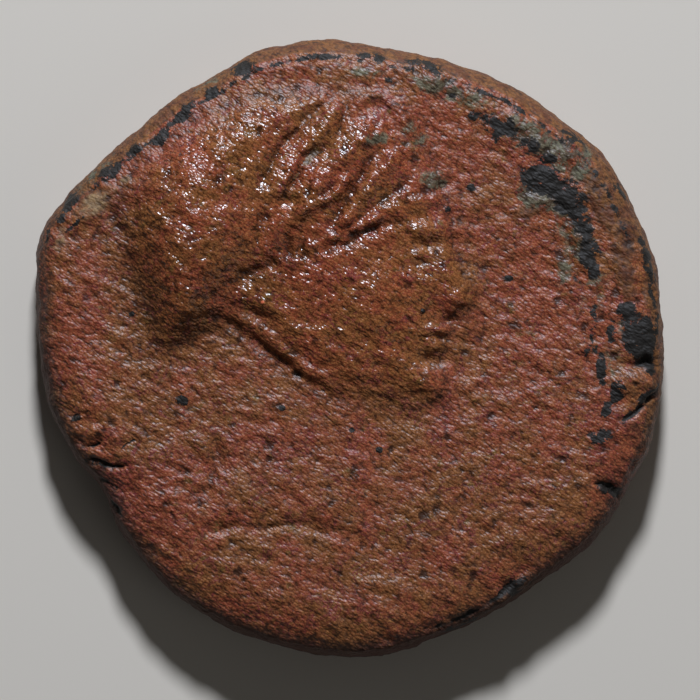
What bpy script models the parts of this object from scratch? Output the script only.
"""A thick, worn bronze coin with a head in low relief, lying with that face up."""

import math

import bmesh
import bpy
import numpy as np

# Sizes are in millimetres until the mesh is finished.
metresPerMillimetre = 0.001

# Flan
fieldHeight = 2.65  # from the flat underside to the plain ground of the face
dropTop = 0.12  # how far the face falls before it turns into the edge
dropBottom = 0.46
runTop = 1.00  # how far in from the outline that fall begins
runBottom = 1.90
insetTop = 0.42  # where the face ends and the edge begins
insetBottom = 0.20

# Points round the widest part of the edge, anticlockwise from the right
flanPoints = (
    (10.0, 0.1), (9.8, 2.4), (9.45, 3.5), (8.5, 5.5), (7.7, 6.5), (5.75, 8.0),
    (4.6, 8.6), (3.0, 9.15), (0.0, 9.76), (-0.9, 9.82), (-1.95, 9.7), (-3.2, 9.35),
    (-4.4, 8.6), (-5.65, 7.9), (-7.3, 6.5), (-8.3, 5.6), (-9.15, 4.7), (-9.7, 4.0),
    (-10.0, 3.1), (-10.0, 1.5), (-9.97, 0.2), (-9.55, -2.0), (-8.7, -3.6), (-8.05, -4.3),
    (-7.65, -5.1), (-7.3, -5.9), (-6.0, -7.5), (-5.0, -8.3), (-3.55, -9.1), (-1.95, -9.6),
    (-0.35, -9.86), (1.25, -9.76), (2.8, -9.25), (4.8, -8.3), (7.3, -6.6), (8.05, -5.85),
    (8.6, -5.0), (9.05, -4.15), (9.5, -3.3), (9.8, -2.2), (10.0, -1.0),
)

# Edge from the face down to the underside: share of the face's inset, millimetres inside the
# flan points, and share of the rim's height
edgeProfile = (
    (0.34, 0.0, 0.87), (0.0, 0.0, 0.63), (0.0, 0.02, 0.41), (0.0, 0.22, 0.21), (0.0, 0.62, 0.065),
)

# Underside
undersideSink = 0.14  # how far the hidden ground lies above the worn flats
borderOuter = 1.15  # the flat border, measured in from the flan points
borderInner = 1.95
borderFade = 0.50  # width of the slope from the border to the ground
rosetteFlat = 1.70  # radius of the flat middle
rosetteFade = 0.60
rayEnd = 4.60
rayFade = 1.20
rayCount = 8
groundRings = (6.0, 4.6, 3.7, 2.9)  # radii of the rings between the border and the flat middle

# Head, cap and neck outlines on the face
headPoints = (
    (-1.65, 8.15), (-3.25, 7.95), (-4.65, 7.4), (-5.95, 6.65), (-6.9, 5.75), (-7.25, 4.7),
    (-7.15, 3.45), (-6.75, 2.15), (-6.4, 1.2), (-5.95, 0.05), (-5.3, 0.2), (-4.65, 0.45),
    (-3.6, 0.4), (-2.85, -0.15), (-2.1, -0.8), (-1.3, -1.3), (-0.2, -1.75), (1.3, -1.9),
    (2.35, -1.85), (2.95, -1.45), (3.0, -0.95), (2.8, -0.45), (3.05, 0.0), (3.2, 0.6),
    (3.15, 0.95), (3.95, 1.3), (3.7, 2.2), (3.25, 3.2), (3.2, 3.9), (2.9, 5.0),
    (2.6, 6.1), (1.9, 7.3), (0.6, 8.0),
)
capPoints = (
    (-0.75, 7.9), (-1.65, 8.15), (-3.25, 7.95), (-4.65, 7.4), (-5.95, 6.65), (-6.9, 5.75),
    (-7.25, 4.7), (-7.15, 3.45), (-6.75, 2.15), (-6.4, 1.2), (-5.95, 0.05), (-5.3, 0.2),
    (-4.65, 0.45), (-4.2, 1.1), (-3.7, 2.15), (-3.15, 2.85), (-2.85, 3.9), (-2.9, 5.0),
    (-2.25, 6.3), (-1.3, 7.35),
)
neckPoints = (
    (-4.3, 0.9), (-4.25, -1.6), (-4.1, -3.0), (-4.3, -3.9), (-4.9, -4.8), (-4.6, -5.8),
    (-3.0, -5.7), (-1.6, -5.6), (0.2, -5.9), (0.8, -4.4), (0.9, -2.6), (1.6, -1.6), (-1.0, 0.5),
)
headRise = 0.22
jawSlope = 1.30  # soft under the jaw, crisp along the front
frontSlope = 0.55
frontTurn = (1.7, 3.0)  # between these places across the coin the slope changes
domeRise = 0.38
domeSlope = 3.60
capRise = 0.46
capSlopeLow = 1.25  # steep at the nape, gentle at the crown
capSlopeHigh = 3.00
capTurn = (1.8, 5.6)  # between these heights up the coin the slope changes
neckRise = 0.10
neckSlope = 0.80
footShare = 0.25  # share of a slope that lies outside its outline
reliefEnd = 1.60  # the relief dies out between here and the edge, measured in from the flan points

# Ridges and grooves: height, half width, then the points of the line
strokes = (
    (0.13, 0.32, ((-2.52, 4.25), (-2.17, 5.2), (-1.63, 6.05), (-1.05, 6.8), (-0.51, 7.5), (-0.2, 7.9))),
    (0.13, 0.32, ((-1.76, 4.0), (-1.31, 4.75), (-0.83, 5.45), (-0.2, 6.1), (0.3, 6.6), (0.6, 7.2))),
    (0.12, 0.30, ((-1.85, 3.8), (-1.6, 4.2), (-1.05, 4.6), (-0.42, 5.0), (0.03, 5.55))),
    (0.14, 0.32, ((-0.95, 3.2), (-0.2, 4.0), (0.35, 4.7), (0.86, 5.4), (1.4, 6.0), (1.7, 6.3))),
    (0.11, 0.32, ((-0.2, 3.55), (1.1, 4.3), (2.2, 4.7), (3.2, 5.05))),
    (0.11, 0.30, ((0.05, 7.6), (0.45, 7.95), (1.1, 7.95), (1.6, 7.6), (1.85, 7.1), (1.9, 6.5))),
    (0.10, 0.30, ((-3.6, 1.85), (-2.85, 1.5), (-2.2, 1.1), (-1.63, 0.5), (-1.0, 0.05), (0.2, -0.5))),
    (0.10, 0.30, ((-3.85, 1.15), (-2.8, 0.45), (-1.95, -0.2), (-1.3, -0.75), (-0.4, -1.2))),
    (-0.12, 0.24, ((-0.77, 7.9), (-1.31, 7.35), (-1.82, 6.8), (-2.27, 6.3), (-2.72, 5.45), (-2.94, 4.85))),
    (-0.12, 0.24, ((-2.14, 4.85), (-1.73, 5.4), (-1.37, 5.95), (-0.99, 6.3), (-0.67, 6.45))),
    (-0.13, 0.25, ((0.95, 6.3), (0.6, 5.95), (0.35, 5.5), (-0.03, 4.85), (-0.42, 4.2), (-0.83, 3.6))),
    (-0.12, 0.24, ((-1.25, 2.95), (-0.6, 3.15), (-0.03, 3.35), (0.45, 3.7), (1.1, 3.92), (1.95, 4.05))),
    (-0.12, 0.24, ((-3.75, 2.05), (-3.25, 2.35), (-2.65, 2.6), (-2.3, 2.9))),
    (-0.08, 0.26, ((-4.5, -5.95), (-4.0, -5.8), (-3.4, -5.65), (-2.75, -5.75), (-1.6, -5.6), (-0.7, -6.1))),
)

# Rounded forms of the face and the ground: height, x, y, half length, half width, turn in degrees
mounds = (
    (0.13, 3.25, 2.1, 1.1, 0.38, 108.0),  # nose
    (0.12, 2.55, 3.75, 0.85, 0.30, 170.0),  # brow
    (-0.10, 2.35, 3.22, 0.52, 0.32, 0.0),  # hollow of the eye
    (0.10, 2.20, 3.00, 0.34, 0.22, 5.0),  # eye
    (0.12, 1.0, 1.5, 1.2, 1.0, 0.0),  # cheek
    (0.11, 2.78, 0.56, 0.36, 0.20, 170.0),  # upper lip
    (0.10, 2.75, 0.00, 0.32, 0.20, 10.0),  # lower lip
    (-0.07, 2.55, -0.42, 0.38, 0.20, 0.0),  # hollow under the lip
    (0.09, 2.25, -1.05, 0.60, 0.45, 0.0),  # chin
    (0.07, -5.7, -4.8, 0.45, 0.30, 0.0),
    (-0.24, 9.30, -0.46, 0.30, 0.24, 0.0),  # notch at the right edge
    (0.06, 4.5, -3.0, 3.0, 1.6, 30.0),
    (-0.06, 6.0, 2.5, 2.2, 1.6, 60.0),
    (0.05, -7.2, -1.8, 1.3, 1.0, 0.0),
    (-0.05, 1.5, -7.2, 2.6, 1.0, 10.0),
)

# Mesh
faceCells = 48  # squares across the face
undersideSteps = 96  # points round each ring of the underside
curveSteps = 8  # straight pieces between two points of a curve

# Look
bronzeColour = (0.125, 0.056, 0.031, 1.0)
bronzeRoughness = 0.42
bronzeMetallic = 0.55


def softStep(start, end, value):
    """0 before start and 1 after end, with a smooth rise between them."""
    share = np.clip((value - start) / (end - start), 0.0, 1.0)
    return share * share * (3.0 - 2.0 * share)


def curveThrough(points, closed):
    """Points of a smooth curve that passes through the given ones."""
    given = np.array(points)
    count = len(given)
    spans = count if closed else count - 1
    share = np.arange(curveSteps)[:, None] / curveSteps
    pieces = []
    for span in range(spans):
        near = [span - 1, span, span + 1, span + 2]
        near = [n % count for n in near] if closed else [min(max(n, 0), count - 1) for n in near]
        before, start, end, after = given[near]
        bend = 2.0 * before - 5.0 * start + 4.0 * end - after
        twist = 3.0 * (start - end) + after - before
        pieces.append(
            start + 0.5 * share * (end - before + share * (bend + share * twist))
        )
    if not closed:
        pieces.append(given[-1:])
    return np.concatenate(pieces)


def nearCurve(x, y, curve, closed):
    """Distance of each place from a curve, and how far along it the nearest point is, from 0 to 1."""
    ends = np.roll(curve, -1, axis=0) if closed else curve[1:]
    starts = curve if closed else curve[:-1]
    best = np.full(x.shape, np.inf)
    along = np.zeros(x.shape)
    for index, (start, end) in enumerate(zip(starts, ends)):
        run = end - start
        length = max(float(run @ run), 1e-12)
        share = np.clip(((x - start[0]) * run[0] + (y - start[1]) * run[1]) / length, 0.0, 1.0)
        gap = np.hypot(x - start[0] - share * run[0], y - start[1] - share * run[1])
        closer = gap < best
        best = np.where(closer, gap, best)
        along = np.where(closer, (index + share) / len(starts), along)
    return best, along


def depthInside(x, y, points):
    """Distance of each place from a closed curve, above 0 inside it and below 0 outside."""
    curve = curveThrough(points, True)
    gap, _ = nearCurve(x, y, curve, True)
    inside = np.zeros(x.shape, bool)
    for start, end in zip(curve, np.roll(curve, -1, axis=0)):
        spans = (start[1] > y) != (end[1] > y)
        rise = end[1] - start[1]
        crossing = start[0] + (y - start[1]) * (end[0] - start[0]) / (rise if rise else 1e-12)
        inside ^= spans & (x < crossing)
    return np.where(inside, gap, -gap)


def plateau(depth, rise, slope):
    """A form that climbs over its outline and levels off inside it."""
    return rise * softStep(-footShare * slope, slope, depth)


def stroke(x, y, height, width, points):
    """A rounded ridge, or a groove where height is below 0, that dies out at both ends."""
    gap, along = nearCurve(x, y, curveThrough(points, False), False)
    taper = softStep(0.0, 0.25, along) * softStep(0.0, 0.25, 1.0 - along)
    return height * (0.25 + 0.75 * taper) * np.exp(-((gap / width) ** 2))


def mound(x, y, height, middleX, middleY, length, width, turn):
    """A soft oval rise, or a hollow where height is below 0."""
    angle = math.radians(turn)
    along = (x - middleX) * math.cos(angle) + (y - middleY) * math.sin(angle)
    across = (y - middleY) * math.cos(angle) - (x - middleX) * math.sin(angle)
    return height * np.exp(-((along / length) ** 2) - (across / width) ** 2)


flanCurve = curveThrough(flanPoints, True)
flanAngles = np.arctan2(flanCurve[:, 1], flanCurve[:, 0])
flanRadii = np.hypot(flanCurve[:, 0], flanCurve[:, 1])


def flanRadius(angle):
    """Distance from the middle to the widest part of the edge in this direction."""
    return np.interp(angle, flanAngles, flanRadii, period=2.0 * math.pi)


def towardsBottom(angle, top, bottom):
    """A value that changes from the top of the coin to its bottom."""
    return top + (bottom - top) * softStep(0.35, -0.75, np.sin(angle + 0.25))


def rimHeight(angle):
    """Height where the face turns into the edge."""
    return fieldHeight - towardsBottom(angle, dropTop, dropBottom)


def rimInset(angle):
    """How far inside the flan points the face turns into the edge."""
    return towardsBottom(angle, insetTop, insetBottom)


def faceSurface(x, y):
    """Height of the face."""
    angle = np.arctan2(y, x)
    inset = flanRadius(angle) - np.hypot(x, y)
    start = rimInset(angle)
    share = np.clip((inset - start) / (towardsBottom(angle, runTop, runBottom) - start), 0.0, 1.0)
    height = fieldHeight - (fieldHeight - rimHeight(angle)) * (1.0 - share) ** 2
    depth = depthInside(x, y, headPoints)
    headSlope = jawSlope + (frontSlope - jawSlope) * softStep(*frontTurn, x)
    relief = plateau(depth, headRise, headSlope) + plateau(depth, domeRise, domeSlope)
    capSlope = capSlopeLow + (capSlopeHigh - capSlopeLow) * softStep(*capTurn, y)
    relief = relief + plateau(depthInside(x, y, capPoints), capRise, capSlope)
    relief = np.maximum(relief, plateau(depthInside(x, y, neckPoints), neckRise, neckSlope))
    for rise, width, points in strokes:
        relief = relief + stroke(x, y, rise, width, points)
    for settings in mounds:
        relief = relief + mound(x, y, *settings)
    return height + relief * softStep(start, reliefEnd, inset)


def undersideSurface(x, y):
    """Height of the underside, whose border and rosette are worn flat at 0."""
    angle = np.arctan2(y, x)
    reach = np.hypot(x, y)
    inset = flanRadius(angle) - reach
    border = 1.0 - softStep(borderInner, borderInner + borderFade, inset)
    rays = softStep(-0.9, 0.7, np.cos(rayCount * angle)) * (1.0 - softStep(rayEnd - rayFade, rayEnd, reach))
    middle = 1.0 - softStep(rosetteFlat, rosetteFlat + rosetteFade, reach)
    worn = np.maximum(border, np.maximum(rays, middle))
    return undersideSink * (1.0 - worn)


def discFromSquare(across, up):
    """Direction and reach on a round disc of a place on a square from -1 to 1."""
    wide = np.abs(across) >= np.abs(up)
    big = np.where(wide, across, up)
    small = np.where(wide, up, across)
    share = small / np.where(big == 0.0, 1.0, big)
    turn = np.where(wide, share, 2.0 - share) * 0.25 * math.pi
    return turn + np.where(big < 0.0, math.pi, 0.0), np.abs(big)


def place(vertices, positions):
    """Moves vertices to new positions, one row each."""
    for vertex, position in zip(vertices, positions):
        vertex.co = position


def placeRing(vertices, reachAt, heightAt):
    """Moves each vertex to a reach in its own direction from the middle, and to a height."""
    angle = np.array([math.atan2(vertex.co.y, vertex.co.x) for vertex in vertices])
    x = reachAt(angle) * np.cos(angle)
    y = reachAt(angle) * np.sin(angle)
    place(vertices, np.stack([x, y, heightAt(x, y)], axis=1))


def addRing(mesh, edges, reachAt, heightAt):
    """Extrudes a loop of edges and moves the new loop to its place. Returns the new loop."""
    made = bmesh.ops.extrude_edge_only(mesh, edges=edges)["geom"]
    vertices = [item for item in made if isinstance(item, bmesh.types.BMVert)]
    placeRing(vertices, reachAt, heightAt)
    return [item for item in made if isinstance(item, bmesh.types.BMEdge) and item.is_boundary]


def edgeRing(share, inset, level):
    """Reach and height of one ring of the edge."""
    def reachAt(angle):
        return flanRadius(angle) - share * rimInset(angle) - inset

    def heightAt(x, y):
        return level * rimHeight(np.arctan2(y, x))

    return reachAt, heightAt


def buildCoin():
    mesh = bmesh.new()
    grid = bmesh.ops.create_grid(mesh, x_segments=faceCells, y_segments=faceCells, size=1.0)
    square = np.array([vertex.co for vertex in grid["verts"]])
    angle, share = discFromSquare(square[:, 0], square[:, 1])
    reach = share * (flanRadius(angle) - rimInset(angle))
    x = reach * np.cos(angle)
    y = reach * np.sin(angle)
    place(grid["verts"], np.stack([x, y, faceSurface(x, y)], axis=1))

    # The edge grows from the face ring by ring.
    loop = [edge for edge in mesh.edges if edge.is_boundary]
    for profilePoint in edgeProfile:
        loop = addRing(mesh, loop, *edgeRing(*profilePoint))

    # The underside starts from a loop with half as many points.
    circle = bmesh.ops.create_circle(mesh, segments=undersideSteps, radius=1.0, cap_ends=False)
    placeRing(circle["verts"], lambda angle: flanRadius(angle) - borderOuter, undersideSurface)
    inner = list({edge for vertex in circle["verts"] for edge in vertex.link_edges})
    bmesh.ops.bridge_loops(mesh, edges=loop + inner)
    inner = [edge for edge in mesh.edges if edge.is_boundary]
    for inset in (borderInner, borderInner + borderFade):
        inner = addRing(mesh, inner, lambda angle: flanRadius(angle) - inset, undersideSurface)
    for reach in (*groundRings, rosetteFlat + rosetteFade, rosetteFlat):
        inner = addRing(mesh, inner, lambda angle: reach + 0.0 * angle, undersideSurface)
    bmesh.ops.edgeloop_fill(mesh, edges=inner)

    bmesh.ops.recalc_face_normals(mesh, faces=mesh.faces)
    bmesh.ops.scale(mesh, vec=(metresPerMillimetre,) * 3, verts=mesh.verts)
    for face in mesh.faces:
        face.smooth = True
    return mesh


def bronzeMaterial():
    material = bpy.data.materials.new("worn_bronze")
    material.use_nodes = True
    shader = material.node_tree.nodes["Principled BSDF"]
    shader.inputs["Base Color"].default_value = bronzeColour
    shader.inputs["Roughness"].default_value = bronzeRoughness
    shader.inputs["Metallic"].default_value = bronzeMetallic
    return material


for old in list(bpy.data.objects):
    bpy.data.objects.remove(old)

coinMesh = bpy.data.meshes.new("bronze_coin")
shape = buildCoin()
shape.to_mesh(coinMesh)
shape.free()
coin = bpy.data.objects.new("bronze_coin", coinMesh)
bpy.context.scene.collection.objects.link(coin)
coinMesh.materials.append(bronzeMaterial())
